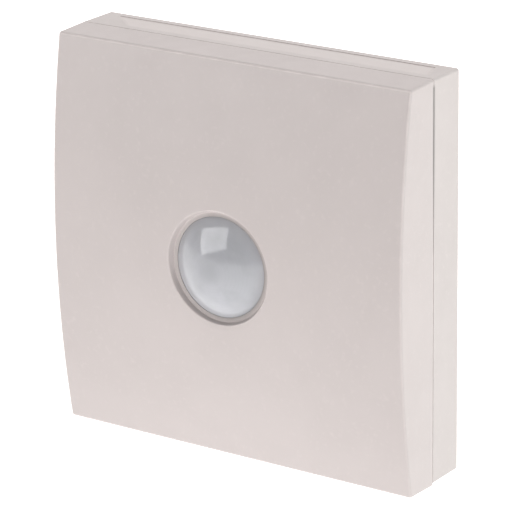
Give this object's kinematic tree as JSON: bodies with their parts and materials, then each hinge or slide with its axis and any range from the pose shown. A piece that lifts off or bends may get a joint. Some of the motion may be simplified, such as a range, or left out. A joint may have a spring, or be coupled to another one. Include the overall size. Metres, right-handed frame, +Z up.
{
  "type": "motion sensor",
  "caption": "Square wall-mounted passive infrared motion sensor with a bowed snap-off cover and a round lens.",
  "frame": {"origin": "centre of the back face, on the wall", "axes": "+Z up, +X to the right as seen from the room, +Y into the wall; the lens faces -Y"},
  "size_m": [0.086, 0.0263, 0.086],
  "materials": {
    "cover_plastic": "fine spark-eroded texture, satin",
    "housing_plastic": "fine spark-eroded texture, satin",
    "lens_plastic": "milky polyethylene, translucent",
    "ring_plastic": "black, as moulded",
    "board_laminate": "green solder resist over glass fibre",
    "screw_steel": "zinc plated",
    "can_nickel": "nickel plated, satin",
    "filter_glass": "dark infrared filter",
    "sensing_ceramic": "fired ceramic",
    "spacer_plastic": "natural nylon",
    "tinned_wire": "tinned",
    "lamp_resin": "red diffused epoxy",
    "trimmer_plastic": "blue thermoset",
    "rotor_plastic": "white nylon",
    "switch_plastic": "red moulding",
    "slider_plastic": "white moulding",
    "tamper_plastic": "black moulding",
    "plunger_plastic": "natural acetal",
    "spring_steel": "drawn spring wire",
    "relay_plastic": "white sealed case",
    "terminal_plastic": "green polyamide",
    "clamp_brass": "nickel-flashed brass",
    "sleeve_plastic": "shrunk sleeve",
    "varistor_resin": "dipped epoxy",
    "chip_resin": "moulded epoxy",
    "resistor_film": "glazed film on ceramic",
    "capacitor_ceramic": "fired ceramic"
  },
  "bodies": {
    "base": {"rear_housing": "housing_plastic", "circuit_board": "board_laminate", "board_screws": "screw_steel", "pyro_spacer": "spacer_plastic", "pyro_header": "can_nickel", "pyro_can": "can_nickel", "pyro_window": "filter_glass", "pyro_elements": "sensing_ceramic", "pyro_leads": "tinned_wire", "walk_test_led": "lamp_resin", "led_leads": "tinned_wire", "range_trimmer_body": "trimmer_plastic", "time_trimmer_body": "trimmer_plastic", "trimmer_pins": "tinned_wire", "mode_switch_body": "switch_plastic", "mode_switch_pins": "tinned_wire", "tamper_switch_body": "tamper_plastic", "tamper_spring": "spring_steel", "tamper_pins": "tinned_wire", "relay": "relay_plastic", "relay_pins": "tinned_wire", "terminal_housing": "terminal_plastic", "terminal_clamps": "clamp_brass", "terminal_screws": "screw_steel", "terminal_pins": "tinned_wire", "supply_capacitor": "sleeve_plastic", "filter_capacitor": "sleeve_plastic", "capacitor_leads": "tinned_wire", "surge_varistor": "varistor_resin", "varistor_leads": "tinned_wire", "controller_chip": "chip_resin", "amplifier_chip": "chip_resin", "chip_leads": "tinned_wire", "rectifier_diodes": "chip_resin", "chip_resistors": "resistor_film", "chip_capacitors": "capacitor_ceramic"},
    "cover": {"front_cover": "cover_plastic", "fresnel_lens": "lens_plastic", "lens_retainer": "ring_plastic"},
    "plunger": {"tamper_plunger": "plunger_plastic"},
    "range_rotor": {"range_trimmer_rotor": "rotor_plastic"},
    "time_rotor": {"time_trimmer_rotor": "rotor_plastic"},
    "slider_1": {"mode_slider_1": "slider_plastic"},
    "slider_2": {"mode_slider_2": "slider_plastic"},
    "slider_3": {"mode_slider_3": "slider_plastic"}
  },
  "joints": [
    {"name": "cover_pull", "type": "slide", "parent": "base", "child": "cover", "axis": [0, -1, 0], "range_m": [0, 0.04]},
    {"name": "tamper_plunger", "type": "slide", "parent": "base", "child": "plunger", "axis": [0, -1, 0], "range_m": [0, 0.0012], "deforming": ["tamper_spring"]},
    {"name": "range_trimmer", "type": "hinge", "parent": "base", "child": "range_rotor", "pos_m": [-0.013, -0.012, -0.0058], "axis": [0, -1, 0], "range_deg": [-135, 135]},
    {"name": "time_trimmer", "type": "hinge", "parent": "base", "child": "time_rotor", "pos_m": [0.013, -0.012, -0.0058], "axis": [0, -1, 0], "range_deg": [-135, 135]},
    {"name": "mode_switch_1", "type": "slide", "parent": "base", "child": "slider_1", "axis": [0, 0, 1], "range_m": [0, 0.0016]},
    {"name": "mode_switch_2", "type": "slide", "parent": "base", "child": "slider_2", "axis": [0, 0, 1], "range_m": [-0.0016, 0]},
    {"name": "mode_switch_3", "type": "slide", "parent": "base", "child": "slider_3", "axis": [0, 0, 1], "range_m": [0, 0.0016]}
  ],
  "couplings": [
    {"joint": "tamper_plunger", "follows": "cover_pull", "ratio": 0.03}
  ]
}
